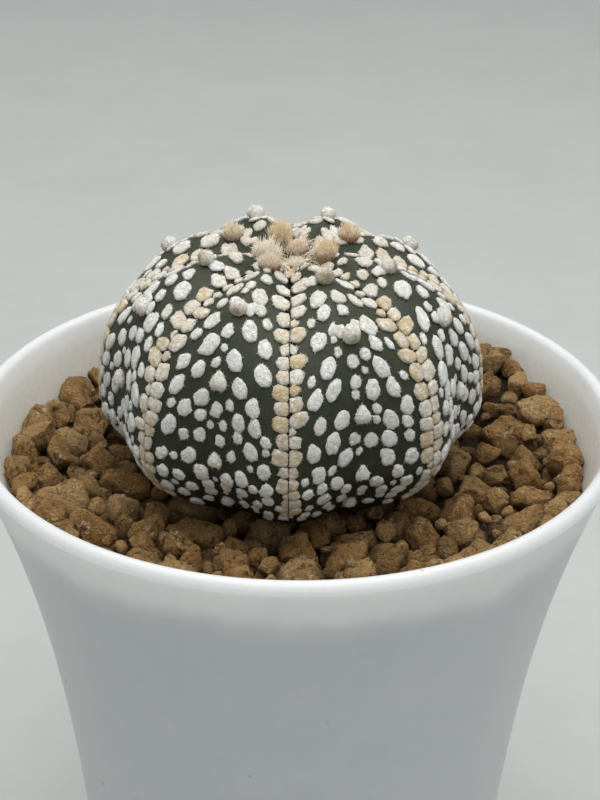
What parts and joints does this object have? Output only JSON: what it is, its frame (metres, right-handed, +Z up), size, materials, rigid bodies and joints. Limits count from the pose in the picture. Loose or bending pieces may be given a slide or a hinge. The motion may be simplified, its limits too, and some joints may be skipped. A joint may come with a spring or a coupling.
{
  "type": "potted star cactus",
  "caption": "Round ribbed star cactus with raised white felt flecks and woolly knobs, growing in clay granules in a flared white pot.",
  "frame": {"origin": "centre of the pot's foot, on the surface that the pot stands on", "axes": "+Z up along the pot's axis, -Y towards the front that the picture shows"},
  "size_m": [0.09, 0.09, 0.1167],
  "materials": {
    "pot_plastic": "satin white moulded plastic, slightly translucent",
    "clay_granules": "rough brown baked clay, porous, with pale specks",
    "cactus_skin": "matte dark green skin with white and cream felt flecks, knobs and wool"
  },
  "bodies": {
    "root": {"pot": "pot_plastic", "soil": "clay_granules", "cactus": "cactus_skin"}
  },
  "joints": []
}
